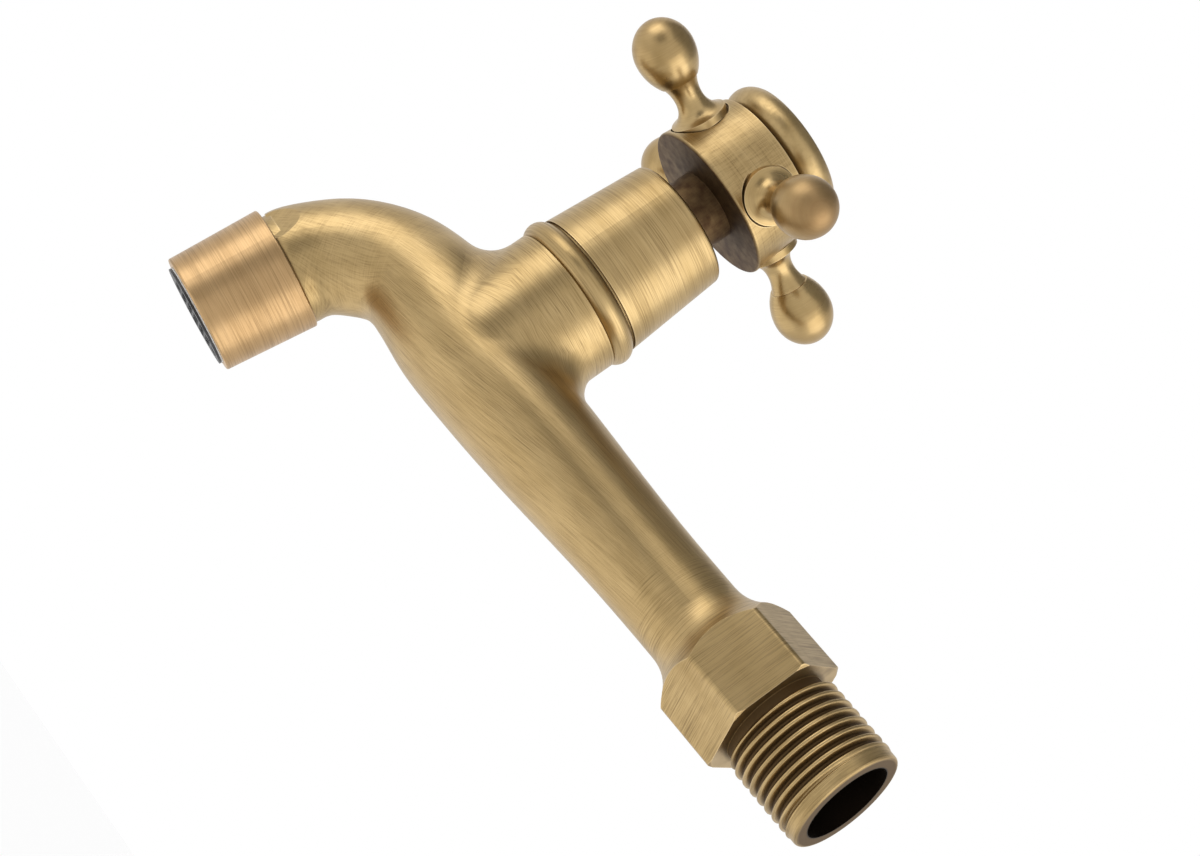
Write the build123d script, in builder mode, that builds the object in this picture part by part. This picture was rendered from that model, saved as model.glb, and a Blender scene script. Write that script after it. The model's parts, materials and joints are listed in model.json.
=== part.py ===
from build123d import *
import os
from math import cos, pi, radians, sin, sqrt, tan

# Wall-mounted tap: cast body with a turned-down spout, quarter-turn ceramic headwork under a
# conical bonnet, four-spoke handle and a screwed-on aerator nozzle. Millimetres.
# Frame: origin on the inlet axis where the full thread begins, +Y into the wall, +Z up.

os.makedirs("parts", exist_ok=True)

# Clearances on the radius
screw_gap = 0.05
seal_gap = 0.05
run_gap = 0.1
free_gap = 0.3
cut_overrun = 1.0

# Inlet thread, hexagon and tube
thread_radius = 20.955 / 2
thread_length = 13.8
thread_pitch = 1.814
thread_depth = 1.162
thread_flank_angle = 27.5
inlet_collar_drop = 0.23
inlet_collar_length = 2.0
inlet_collar_round = 0.6
relief_width = 2.2
relief_drop = 0.02
hexagon_across_flats = 22.8
hexagon_length = 12.2
hexagon_corner_round = 1.2
hexagon_face_chamfer = 0.45
hexagon_shoulder_slope = 44.0
hexagon_neck_blend = 9.0
tube_radius = 8.65
tube_sections = 10
inlet_wall = 1.5
inlet_bore_depth = 22.0
tube_bore_radius = 5.6
bore_step_length = 4.0

# Valve chamber and boss
valve_y = -84.0
chamber_half_height = 10.35
chamber_half_width = 12.9
boss_radius = 13.32
boss_top = 19.7
globe_height = 4.5
boss_blend_share = 0.72
boss_edge = 0.25
seat_height = 7.6
seat_hole_radius = 3.6
headwork_bore_radius = 9.4
headwork_thread_radius = 10.4
headwork_thread_depth = 4.9

# Spout
crown_offset = 9.5
crown_height = 1.6
crown_tilt = 6.0
crown_half_height = 11.7
crown_half_width = 12.6
shoulder_offset = 18.0
shoulder_height = 1.75
shoulder_tilt = 14.0
shoulder_half_height = 11.1
shoulder_half_width = 11.4
bend_offset = 23.8
bend_height = 0.85
bend_radius = 22.0
bend_start_tilt = 22.0
bend_end_tilt = 76.0
bend_sections = 5
spout_radius = 10.1
spout_flare = 0.3
spout_flat_depth = 0.8
spout_flat_lean = 3.5
spout_flat_turn = 22.0
passage_radius = 5.6
passage_start_offset = 7.5

# Aerator nozzle, measured along its own axis from the back rim
nozzle_tilt = 82.75
nozzle_length = 17.43
nozzle_back_radius = 11.29
nozzle_front_radius = 10.76
nozzle_edge_round = 0.35
nozzle_mouth_radius = 10.7
nozzle_mouth_depth = 2.6
nozzle_lip = 1.2
spigot_radius = 9.8
spigot_length = 7.0
spigot_root = 1.5
spigot_bore_radius = 6.6
spigot_bore_start = 1.0
aerator_nose_radius = 9.2
aerator_nose_length = 1.4
aerator_wall = 1.1
aerator_washer_height = 1.6
aerator_washer_bore = 7.0
flow_disc_thickness = 1.4
flow_disc_hole_radius = 0.6
flow_disc_ring_radius = 5.6
flow_disc_holes = 12
grille_thickness = 0.45
grille_rim = 1.0
grille_pitch = 2.4
grille_hole_radius = 1.0

# Bonnet
bead_height = 4.1
bead_radius = 14.2
bead_root_radius = 13.0
bead_groove = 0.4
cone_base_radius = 13.2
cone_top_radius = 11.76
bonnet_top = 43.6
bonnet_edge_round = 0.8
bonnet_wall = 1.7
bonnet_roof = 2.2
bonnet_collar_height = 3.0
bonnet_collar_lift = 1.0
bonnet_hole_gap = 0.8

# Headwork: the ceramic cartridge
gasket_height = 0.8
gasket_width = 0.7
collar_height = 1.2
spanner_across_flats = 19.0
spanner_height = 3.3
neck_radius = 9.0
neck_height = 5.0
gland_radius = 7.4
gland_top = 33.4
seat_seal_height = 1.4
seat_seal_width = 2.6
disc_radius = 7.2
disc_thickness = 2.6
disc_port_radius = 4.6
disc_port_length = 4.4
disc_port_width = 2.6
skirt_lift = 0.5
window_half_width = 4.0
spindle_foot_height = 2.8
spindle_radius = 4.5
o_ring_section = 0.8
o_ring_spacing = 4.0
o_ring_first = 22.0
thrust_washer_height = 0.5
thrust_washer_radius = 6.6
circlip_height = 1.0
circlip_radius = 5.7
circlip_depth = 0.7
clip_land = 0.5
spline_teeth = 20
spline_radius = 4.0
spline_tooth = 0.45
spindle_reach = 1.4

# Handle
hub_lift = 6.1
hub_bottom_radius = 14.4
hub_top_radius = 13.33
hub_edge_round = 0.5
hub_boss_radius = 6.5
hub_boss_depth = 7.6
hub_recess_radius = 7.0
hub_floor = 2.3
cap_neck_height = 0.6
cap_neck_radius = 11.8
cap_bead_height = 5.2
cap_bead_radius = 13.3
cap_bead_root = 12.0
cap_dome_rise = 1.6
cap_plug_length = 4.0
cap_plug_wall = 1.6
spoke_count = 4
spoke_rise = 6.14
spoke_cover = 6.46
spoke_angle = 49.5
spoke_seat = 13.0
spoke_flange_radius = 5.07
spoke_flange_height = 1.3
spoke_neck_radius = 2.5
spoke_neck_reach = 18.6
spoke_step_reach = 21.4
spoke_step_radius = 3.3
spoke_step = 0.25
spoke_step_slope = (-1, -0.5)
spoke_flare_slope = (-0.3, 1)
ball_reach = 27.0
ball_radius = 5.4
ball_nose = 6.1
spoke_stud_radius = 2.4
spoke_stud_length = 4.5
screw_radius = 2.0
screw_head_radius = 3.8
screw_head_height = 2.4
screw_depth = 7.0
tapped_depth = 8.0
screw_socket_width = 2.5
spring_washer_height = 0.8

# Derived places on the inlet
thread_root_radius = thread_radius - thread_depth
thread_flank = thread_depth * tan(radians(thread_flank_angle))
thread_flat = thread_pitch / 2 - thread_flank
thread_grooves = int((thread_length - thread_flat) / thread_pitch)
inlet_collar_radius = thread_radius - inlet_collar_drop
relief_radius = thread_root_radius - relief_drop
inlet_bore_radius = thread_root_radius - inlet_wall
hexagon_face = -relief_width
hexagon_corner_radius = hexagon_across_flats / 2 / cos(pi / 6)
hexagon_back = hexagon_face - hexagon_length
shoulder_foot = hexagon_back - (hexagon_corner_radius - tube_radius) / tan(radians(hexagon_shoulder_slope))
neck_tangent = hexagon_neck_blend * tan(radians(hexagon_shoulder_slope) / 2)
neck_blend_start = (
    shoulder_foot + neck_tangent * cos(radians(hexagon_shoulder_slope)),
    tube_radius + neck_tangent * sin(radians(hexagon_shoulder_slope)),
)
tube_start = shoulder_foot - neck_tangent
inlet_end = thread_length + inlet_collar_length

# Derived places on the spout and nozzle
bend_start = (valve_y - bend_offset, bend_height)


def bend_point(tilt):
    """Centre of the spout where it points tilt degrees below straight ahead, as (y, z)."""
    y = bend_start[0] - bend_radius * (sin(radians(tilt)) - sin(radians(bend_start_tilt)))
    z = bend_start[1] - bend_radius * (cos(radians(bend_start_tilt)) - cos(radians(tilt)))
    return y, z


def tilted_plane(y, z, tilt):
    """Plane across the waterway at (0, y, z), facing forward and tilt degrees down."""
    ahead = (0, -cos(radians(tilt)), -sin(radians(tilt)))
    return Plane(origin=(0, y, z), x_dir=(1, 0, 0), z_dir=ahead)


nozzle_y, nozzle_z = bend_point(bend_end_tilt)
nozzle_back = tilted_plane(nozzle_y, nozzle_z, nozzle_tilt)
nozzle_axis = Axis(nozzle_back.origin, nozzle_back.z_dir)
nozzle_section = Plane(
    origin=nozzle_back.origin,
    x_dir=(1, 0, 0),
    z_dir=nozzle_back.x_dir.cross(nozzle_back.z_dir),
)
spout_inner = nozzle_back.z_dir.cross(Vector(1, 0, 0))
flat_turn = radians(spout_flat_turn)
flat_lean = radians(spout_flat_lean)
flat_planes = {}
for side in (1, -1):
    flat_out = Vector(side * cos(flat_turn), 0, 0) + spout_inner * sin(flat_turn)
    flat_normal = flat_out * cos(flat_lean) + nozzle_back.z_dir * sin(flat_lean)
    flat_planes[side] = Plane(
        origin=nozzle_back.origin + flat_out * (spout_radius - spout_flat_depth),
        z_dir=flat_normal,
    )
nozzle_bore_radius = spigot_radius + screw_gap
nozzle_lip_start = nozzle_length - nozzle_lip
nozzle_lip_radius = aerator_nose_radius + run_gap
aerator_back = spigot_length + aerator_washer_height
aerator_radius = nozzle_bore_radius - run_gap
aerator_front = nozzle_lip_start + aerator_nose_length

# Derived places on the valve axis
boss_blend = boss_blend_share * (boss_top - chamber_half_height)
tube_bore_end = valve_y - seat_hole_radius - free_gap
valve_axis = Axis((0, valve_y, 0), (0, 0, 1))
valve_section = Plane(origin=(0, valve_y, 0), x_dir=(1, 0, 0), z_dir=(0, -1, 0))
inlet_section = Plane.YZ
bead_top = boss_top + bead_height
cone_base = bead_top + bead_groove
collar_radius = headwork_thread_radius + gasket_width
collar_bottom = boss_top + gasket_height
spanner_bottom = collar_bottom + collar_height
neck_bottom = spanner_bottom + spanner_height
neck_top = neck_bottom + neck_height
disc_chamber_radius = disc_radius + free_gap
skirt_radius = headwork_bore_radius - free_gap
skirt_bottom = seat_height + skirt_lift
fixed_disc_bottom = seat_height + seat_seal_height
moving_disc_bottom = fixed_disc_bottom + disc_thickness
foot_bottom = moving_disc_bottom + disc_thickness
foot_top = foot_bottom + spindle_foot_height
gland_bore_radius = spindle_radius + run_gap
gland_floor = foot_top + free_gap
circlip_bottom = gland_top + thrust_washer_height
circlip_top = circlip_bottom + circlip_height
spline_bottom = circlip_top + clip_land
bonnet_bore_radius = collar_radius + free_gap
bonnet_collar_bottom = neck_bottom + bonnet_collar_lift
bonnet_hole_radius = hub_boss_radius + bonnet_hole_gap
spindle_top = bonnet_top + spindle_reach
hub_bottom = bonnet_top + hub_lift
hub_boss_bottom = bonnet_top - hub_boss_depth
hub_recess_floor = hub_bottom + hub_floor
spoke_height = hub_bottom + spoke_rise
hub_top = spoke_height + spoke_cover
cap_bottom = hub_top
cap_bead_bottom = cap_bottom + cap_neck_height
cap_bead_top = cap_bead_bottom + cap_bead_height
cap_dome_top = cap_bead_top + cap_dome_rise
cap_dome_radius = (cap_bead_root**2 + cap_dome_rise**2) / (2 * cap_dome_rise)
cap_dome_mid = sqrt(cap_dome_radius**2 - (cap_bead_root / 2) ** 2)
screw_head_bottom = hub_recess_floor + spring_washer_height


def level(z):
    """Horizontal plane at height z, centred on the valve axis."""
    return Plane(origin=(0, valve_y, z))


def spline_points(outer, tooth):
    """Corners of a toothed shaft with sharp teeth of the given height."""
    corners = []
    for step in range(2 * spline_teeth):
        radius = outer if step % 2 == 0 else outer - tooth
        angle = pi * step / spline_teeth
        corners.append((radius * cos(angle), radius * sin(angle)))
    return corners


# Hexagon of the inlet: a prism turned to a chamfer at its face and to a long shoulder and neck behind
with BuildPart() as inlet_hexagon:
    with BuildSketch(Plane(origin=(0, hexagon_face, 0), x_dir=(1, 0, 0), z_dir=(0, -1, 0))):
        RegularPolygon(hexagon_across_flats / 2, 6, major_radius=False, rotation=30)
    extrude(amount=hexagon_face - tube_start)
    fillet(inlet_hexagon.edges().filter_by(Axis.Y), hexagon_corner_round)
    with BuildSketch(inlet_section):
        with BuildLine():
            Polyline(
                (hexagon_face, 0),
                (hexagon_face, hexagon_corner_radius - hexagon_face_chamfer * sqrt(3)),
                (hexagon_face - hexagon_face_chamfer, hexagon_corner_radius),
                (hexagon_back, hexagon_corner_radius),
                neck_blend_start,
            )
            TangentArc(
                neck_blend_start,
                (tube_start, tube_radius),
                tangent=(-cos(radians(hexagon_shoulder_slope)), -sin(radians(hexagon_shoulder_slope))),
            )
            Polyline((tube_start, tube_radius), (tube_start, 0), (hexagon_face, 0))
        make_face()
    revolve(axis=Axis.Y, mode=Mode.INTERSECT)

# Outlet waterway from the headwork chamber round the bend, as the core that leaves it in the casting
passage_run = bend_offset - passage_start_offset
with BuildPart() as outlet_passage:
    with BuildLine(inlet_section) as passage_line:
        Line(
            (bend_start[0] + passage_run, bend_start[1] + passage_run * tan(radians(bend_start_tilt))),
            bend_start,
        )
        bend = JernArc(
            bend_start,
            (-cos(radians(bend_start_tilt)), -sin(radians(bend_start_tilt))),
            bend_radius,
            bend_end_tilt - bend_start_tilt,
        )
        Line(bend @ 1, bend @ 1 + (bend % 1) * spigot_length / 2)
    with BuildSketch(Plane(origin=passage_line.line @ 0, z_dir=passage_line.line % 0)):
        Circle(passage_radius)
    sweep()

# Sections of the pipe: place, tilt, half width and half height
pipe_stations = []
for step in range(tube_sections):
    share = step / (tube_sections - 1)
    y = tube_start + share * (valve_y - tube_start)
    swell = share**3 * (share * (6 * share - 15) + 10)
    half_width = tube_radius + swell * (chamber_half_width - tube_radius)
    half_height = tube_radius + swell * (chamber_half_height - tube_radius)
    pipe_stations.append((y, 0, 0, half_width, half_height))
pipe_stations.append((valve_y - crown_offset, crown_height, crown_tilt, crown_half_width, crown_half_height))
pipe_stations.append(
    (valve_y - shoulder_offset, shoulder_height, shoulder_tilt, shoulder_half_width, shoulder_half_height)
)
for step in range(bend_sections):
    share = step / (bend_sections - 1)
    tilt = bend_start_tilt + share * (bend_end_tilt - bend_start_tilt)
    radius = spout_radius + spout_flare * (1 - share) ** 2
    pipe_stations.append((*bend_point(tilt), tilt, radius, radius))

# Outline of the thread, whose turns are simplified to rings with flat crests and roots
thread_profile = []
for step in range(thread_grooves):
    crest_end = step * thread_pitch + thread_flat
    thread_profile += [
        (crest_end, thread_radius),
        (crest_end + thread_flank, thread_root_radius),
        (crest_end + thread_flank + thread_flat, thread_root_radius),
        (crest_end + thread_flat + 2 * thread_flank, thread_radius),
    ]

# Body: one casting from the threaded inlet to the nozzle spigot
with BuildPart() as tap_body:
    # Pipe skin
    for y, z, tilt, half_width, half_height in pipe_stations:
        with BuildSketch(tilted_plane(y, z, tilt)):
            Ellipse(half_width, half_height)
    loft()
    # Boss that carries the headwork, round at the bottom and blended into the pipe
    with BuildSketch(valve_section):
        with BuildLine():
            Polyline(
                (0, globe_height - boss_radius),
                (0, boss_top),
                (boss_radius, boss_top),
                (boss_radius, globe_height),
            )
            CenterArc((0, globe_height), boss_radius, 270, 90)
        make_face()
    revolve(axis=valve_axis)
    boss_seam = tap_body.edges(Select.NEW)
    fillet(boss_seam, boss_blend)
    boss_rim = tap_body.edges().filter_by(GeomType.CIRCLE).sort_by(Axis.Z)[-1]
    chamfer(boss_rim, boss_edge)
    # Hexagon and its neck
    add(inlet_hexagon.part)
    # Relief, threaded length and plain end collar
    with BuildSketch(inlet_section):
        with BuildLine():
            Polyline(
                (hexagon_face - cut_overrun, 0),
                (hexagon_face - cut_overrun, relief_radius),
                (relief_radius - thread_radius, relief_radius),
                (0, thread_radius),
                *thread_profile,
                (thread_length, thread_radius),
                (thread_length + thread_radius - inlet_collar_radius, inlet_collar_radius),
                (inlet_end, inlet_collar_radius),
                (inlet_end, 0),
                close=True,
            )
        make_face()
    revolve(axis=Axis.Y)
    inlet_rim = tap_body.edges().filter_by(GeomType.CIRCLE).sort_by(Axis.Y)[-1]
    fillet(inlet_rim, inlet_collar_round)
    # Ground flats on both sides of the spout's end, fading out up the bend
    for side in (1, -1):
        with BuildSketch(flat_planes[side]):
            Rectangle(4 * spout_radius, 4 * spout_radius)
        extrude(amount=spout_radius, mode=Mode.SUBTRACT)
    # Spigot that the nozzle screws on to
    with BuildSketch(nozzle_back.offset(-spigot_root)):
        Circle(spigot_radius)
    extrude(amount=spigot_root + spigot_length)
    # Inlet waterway up to the seat
    with BuildSketch(inlet_section):
        with BuildLine():
            Polyline(
                (inlet_end + cut_overrun, 0),
                (inlet_end + cut_overrun, inlet_bore_radius),
                (inlet_end - inlet_bore_depth, inlet_bore_radius),
                (inlet_end - inlet_bore_depth - bore_step_length, tube_bore_radius),
                (tube_bore_end, tube_bore_radius),
                (tube_bore_end, 0),
                close=True,
            )
        make_face()
    revolve(axis=Axis.Y, mode=Mode.SUBTRACT)
    with BuildSketch(level(0)):
        Circle(seat_hole_radius)
    extrude(amount=boss_top, mode=Mode.SUBTRACT)
    # Headwork chamber and its thread
    with BuildSketch(level(seat_height)):
        Circle(headwork_bore_radius)
    extrude(amount=boss_top, mode=Mode.SUBTRACT)
    with BuildSketch(level(boss_top - headwork_thread_depth)):
        Circle(headwork_thread_radius)
    extrude(amount=boss_top, mode=Mode.SUBTRACT)
    # Outlet waterway, and the wider bore of the spigot
    add(outlet_passage.part, mode=Mode.SUBTRACT)
    with BuildSketch(nozzle_back.offset(spigot_bore_start)):
        Circle(spigot_bore_radius)
    extrude(amount=spigot_length, mode=Mode.SUBTRACT)
tap_body.part.label = "tap_body"
export_step(tap_body.part, "parts/tap_body.step")

# Aerator nozzle: tapered turned sleeve, open at the back to clear the end of the cast bend
with BuildPart() as aerator_housing:
    with BuildSketch(nozzle_section):
        with BuildLine():
            Polyline(
                (nozzle_mouth_radius, 0),
                (nozzle_back_radius, 0),
                (nozzle_front_radius, nozzle_length),
                (nozzle_lip_radius, nozzle_length),
                (nozzle_lip_radius, nozzle_lip_start),
                (nozzle_bore_radius, nozzle_lip_start),
                (nozzle_bore_radius, nozzle_mouth_depth),
                (nozzle_mouth_radius, nozzle_mouth_depth),
                close=True,
            )
        make_face()
    revolve(axis=nozzle_axis)
    nozzle_rims = aerator_housing.edges().filter_by(GeomType.CIRCLE).sort_by(SortBy.RADIUS)
    fillet(nozzle_rims.filter_by(lambda edge: edge.radius > nozzle_mouth_radius), nozzle_edge_round)
aerator_housing.part.label = "aerator_housing"
export_step(aerator_housing.part, "parts/aerator_housing.step")

# Rubber washer between the spigot and the aerator
with BuildPart() as aerator_washer:
    with BuildSketch(nozzle_back.offset(spigot_length)):
        Circle(aerator_radius)
        Circle(aerator_washer_bore, mode=Mode.SUBTRACT)
    extrude(amount=aerator_washer_height)
aerator_washer.part.label = "aerator_washer"
export_step(aerator_washer.part, "parts/aerator_washer.step")

# Aerator cage: a moulded cup whose nose stands out of the nozzle lip
with BuildPart() as aerator_cage:
    with BuildSketch(nozzle_section):
        with BuildLine():
            Polyline(
                (aerator_nose_radius - aerator_wall, aerator_back),
                (aerator_radius, aerator_back),
                (aerator_radius, nozzle_lip_start),
                (aerator_nose_radius, nozzle_lip_start),
                (aerator_nose_radius, aerator_front),
                (aerator_nose_radius - aerator_wall, aerator_front),
                close=True,
            )
        make_face()
    revolve(axis=nozzle_axis)
aerator_cage.part.label = "aerator_cage"
export_step(aerator_cage.part, "parts/aerator_cage.step")

# Flow disc with a ring of jets, just inside the back of the cage
with BuildPart() as aerator_flow_disc:
    with BuildSketch(nozzle_back.offset(aerator_back)):
        Circle(aerator_nose_radius - aerator_wall - seal_gap)
        with PolarLocations(flow_disc_ring_radius, flow_disc_holes):
            Circle(flow_disc_hole_radius, mode=Mode.SUBTRACT)
    extrude(amount=flow_disc_thickness)
aerator_flow_disc.part.label = "aerator_flow_disc"
export_step(aerator_flow_disc.part, "parts/aerator_flow_disc.step")

# Grille over the outlet, on the front of the cage
with BuildPart() as aerator_grille:
    with BuildSketch(nozzle_back.offset(aerator_front)):
        Circle(aerator_nose_radius)
        hole_reach = aerator_nose_radius - grille_rim - grille_hole_radius
        rows = int(hole_reach / grille_pitch) + 1
        with HexLocations(grille_pitch / 2, 2 * rows + 1, 2 * rows + 1) as grid:
            kept = [place for place in grid.local_locations if place.position.length < hole_reach]
        with Locations(*[place.position for place in kept]):
            Circle(grille_hole_radius, mode=Mode.SUBTRACT)
    extrude(amount=grille_thickness)
aerator_grille.part.label = "aerator_grille"
export_step(aerator_grille.part, "parts/aerator_grille.step")

# Bonnet: rounded bead on the boss, then a tall cone with a rounded top edge
with BuildPart() as bonnet_shroud:
    with BuildSketch(valve_section):
        with BuildLine():
            Polyline(
                (bonnet_bore_radius, boss_top),
                (bead_root_radius, boss_top),
            )
            ThreePointArc(
                (bead_root_radius, boss_top),
                (bead_radius, boss_top + bead_height / 2),
                (bead_root_radius, bead_top),
            )
            Polyline(
                (bead_root_radius, bead_top),
                (bead_root_radius - bead_groove, bead_top),
                (bead_root_radius - bead_groove, cone_base),
                (cone_base_radius, cone_base),
                (cone_top_radius, bonnet_top),
                (bonnet_hole_radius, bonnet_top),
                (bonnet_hole_radius, bonnet_top - bonnet_roof),
                (cone_top_radius - bonnet_wall, bonnet_top - bonnet_roof),
                (cone_top_radius - bonnet_wall, bonnet_collar_bottom + bonnet_collar_height),
                (neck_radius + screw_gap, bonnet_collar_bottom + bonnet_collar_height),
                (neck_radius + screw_gap, bonnet_collar_bottom),
                (bonnet_bore_radius, bonnet_collar_bottom),
                (bonnet_bore_radius, boss_top),
            )
        make_face()
    revolve(axis=valve_axis)
    bonnet_rims = bonnet_shroud.edges().filter_by(GeomType.CIRCLE).group_by(Axis.Z)[-1]
    fillet(bonnet_rims.sort_by(SortBy.RADIUS)[-1], bonnet_edge_round)
bonnet_shroud.part.label = "bonnet_shroud"
export_step(bonnet_shroud.part, "parts/bonnet_shroud.step")

# Gasket under the headwork collar
with BuildPart() as headwork_gasket:
    with BuildSketch(level(boss_top)):
        Circle(collar_radius)
        Circle(headwork_thread_radius, mode=Mode.SUBTRACT)
    extrude(amount=gasket_height)
headwork_gasket.part.label = "headwork_gasket"
export_step(headwork_gasket.part, "parts/headwork_gasket.step")

# Headwork body: windowed skirt, screwed barrel, collar, spanner hexagon, neck and gland
with BuildPart() as headwork_body:
    with BuildSketch(valve_section):
        with BuildLine():
            Polyline(
                (disc_chamber_radius, skirt_bottom),
                (skirt_radius, skirt_bottom),
                (skirt_radius, boss_top - headwork_thread_depth),
                (headwork_thread_radius - screw_gap, boss_top - headwork_thread_depth),
                (headwork_thread_radius - screw_gap, collar_bottom),
                (collar_radius, collar_bottom),
                (collar_radius, spanner_bottom),
                (neck_radius, spanner_bottom),
                (neck_radius, neck_top),
                (gland_radius, neck_top),
                (gland_radius, gland_top),
                (gland_bore_radius, gland_top),
                (gland_bore_radius, gland_floor),
                (disc_chamber_radius, gland_floor),
                close=True,
            )
        make_face()
    revolve(axis=valve_axis)
    with BuildSketch(level(spanner_bottom)):
        RegularPolygon(spanner_across_flats / 2, 6, major_radius=False)
        Circle(gland_radius, mode=Mode.SUBTRACT)
    extrude(amount=spanner_height)
    with BuildSketch(level(moving_disc_bottom)):
        Rectangle(2 * window_half_width, 3 * skirt_radius)
    extrude(amount=disc_thickness, mode=Mode.SUBTRACT)
headwork_body.part.label = "headwork_body"
export_step(headwork_body.part, "parts/headwork_body.step")

# Rubber seat seal pressed down by the fixed disc
with BuildPart() as seat_seal:
    with BuildSketch(level(seat_height)):
        Circle(disc_radius)
        Circle(disc_radius - seat_seal_width, mode=Mode.SUBTRACT)
    extrude(amount=seat_seal_height)
seat_seal.part.label = "seat_seal"
export_step(seat_seal.part, "parts/seat_seal.step")

# Ceramic discs with two opposite ports; the upper one is turned a quarter and shuts the lower one
disc_levels = {"fixed_ceramic_disc": fixed_disc_bottom, "moving_ceramic_disc": moving_disc_bottom}
port_turns = {"fixed_ceramic_disc": 0, "moving_ceramic_disc": 90}
for disc_name, disc_bottom in disc_levels.items():
    with BuildPart() as ceramic_disc:
        with BuildSketch(level(disc_bottom)):
            Circle(disc_radius)
            with PolarLocations(disc_port_radius, 2, start_angle=port_turns[disc_name]):
                SlotOverall(disc_port_length, disc_port_width, rotation=90, mode=Mode.SUBTRACT)
        extrude(amount=disc_thickness)
    ceramic_disc.part.label = disc_name
    export_step(ceramic_disc.part, f"parts/{disc_name}.step")

# Spindle: driving foot, sealed shaft with two ring grooves, clip groove, splined and tapped top
o_ring_heights = [o_ring_first, o_ring_first + o_ring_spacing]
o_ring_pitch_radius = gland_bore_radius - seal_gap - o_ring_section
with BuildPart() as spindle:
    with BuildSketch(level(foot_bottom)):
        Circle(disc_radius)
    extrude(amount=spindle_foot_height)
    with BuildSketch(level(foot_top)):
        Circle(spindle_radius)
    extrude(amount=spline_bottom - foot_top)
    with BuildSketch(level(spline_bottom)):
        Polygon(*spline_points(spline_radius, spline_tooth), align=None)
    extrude(amount=spindle_top - spline_bottom)
    for ring_height in o_ring_heights:
        with BuildSketch(level(ring_height - o_ring_section - seal_gap)):
            Circle(gland_radius)
            Circle(o_ring_pitch_radius - o_ring_section - seal_gap, mode=Mode.SUBTRACT)
        extrude(amount=2 * (o_ring_section + seal_gap), mode=Mode.SUBTRACT)
    with BuildSketch(level(circlip_bottom)):
        Circle(gland_radius)
        Circle(spindle_radius - circlip_depth, mode=Mode.SUBTRACT)
    extrude(amount=circlip_height, mode=Mode.SUBTRACT)
    with BuildSketch(level(spindle_top - tapped_depth)):
        Circle(screw_radius + screw_gap)
    extrude(amount=tapped_depth, mode=Mode.SUBTRACT)
spindle.part.label = "spindle"
export_step(spindle.part, "parts/spindle.step")

# Two rubber rings that seal the spindle in the gland
with BuildPart() as spindle_o_rings:
    for ring_height in o_ring_heights:
        with BuildSketch(valve_section):
            with Locations((o_ring_pitch_radius, ring_height)):
                Circle(o_ring_section)
        revolve(axis=valve_axis)
spindle_o_rings.part.label = "spindle_o_rings"
export_step(spindle_o_rings.part, "parts/spindle_o_rings.step")

# Washer that the clip turns on
with BuildPart() as thrust_washer:
    with BuildSketch(level(gland_top)):
        Circle(thrust_washer_radius)
        Circle(gland_bore_radius, mode=Mode.SUBTRACT)
    extrude(amount=thrust_washer_height)
thrust_washer.part.label = "thrust_washer"
export_step(thrust_washer.part, "parts/thrust_washer.step")

# Clip in the spindle groove, open on one side
with BuildPart() as circlip:
    with BuildSketch(level(circlip_bottom)):
        Circle(circlip_radius)
        Circle(spindle_radius - circlip_depth + seal_gap, mode=Mode.SUBTRACT)
        with Locations((circlip_radius, 0)):
            Rectangle(2 * circlip_radius, spindle_radius, mode=Mode.SUBTRACT)
    extrude(amount=circlip_height)
circlip.part.label = "circlip"
export_step(circlip.part, "parts/circlip.step")

# Spoke places round the hub
spoke_directions = []
for step in range(spoke_count):
    angle = radians(spoke_angle + 360 * step / spoke_count)
    spoke_directions.append(Vector(cos(angle), sin(angle), 0))
hub_centre = Vector(0, valve_y, spoke_height)

# Hub: tapered drum on a splined boss, with four seats for the spokes
with BuildPart() as handle_hub:
    with BuildSketch(valve_section):
        with BuildLine():
            Polyline(
                (0, hub_boss_bottom),
                (hub_boss_radius, hub_boss_bottom),
                (hub_boss_radius, hub_bottom),
                (hub_bottom_radius, hub_bottom),
                (hub_top_radius, hub_top),
                (hub_recess_radius, hub_top),
                (hub_recess_radius, hub_recess_floor),
                (0, hub_recess_floor),
                close=True,
            )
        make_face()
    revolve(axis=valve_axis)
    hub_rims = handle_hub.edges().filter_by(GeomType.CIRCLE).sort_by(SortBy.RADIUS)
    fillet(hub_rims[-1], hub_edge_round)
    with BuildSketch(level(hub_boss_bottom)):
        Polygon(*spline_points(spline_radius + run_gap, spline_tooth), align=None)
    extrude(amount=spindle_top + run_gap - hub_boss_bottom, mode=Mode.SUBTRACT)
    with BuildSketch(level(hub_boss_bottom)):
        Circle(screw_radius + run_gap)
    extrude(amount=hub_top - hub_boss_bottom, mode=Mode.SUBTRACT)
    for direction in spoke_directions:
        with BuildSketch(Plane(origin=hub_centre + direction * spoke_seat, z_dir=direction)):
            Circle(spoke_flange_radius + free_gap)
        extrude(amount=hub_bottom_radius, mode=Mode.SUBTRACT)
        with BuildSketch(Plane(origin=hub_centre + direction * spoke_seat, z_dir=direction)):
            Circle(spoke_stud_radius + screw_gap)
        extrude(amount=-(spoke_stud_length + free_gap), mode=Mode.SUBTRACT)
handle_hub.part.label = "handle_hub"
export_step(handle_hub.part, "parts/handle_hub.step")

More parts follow.
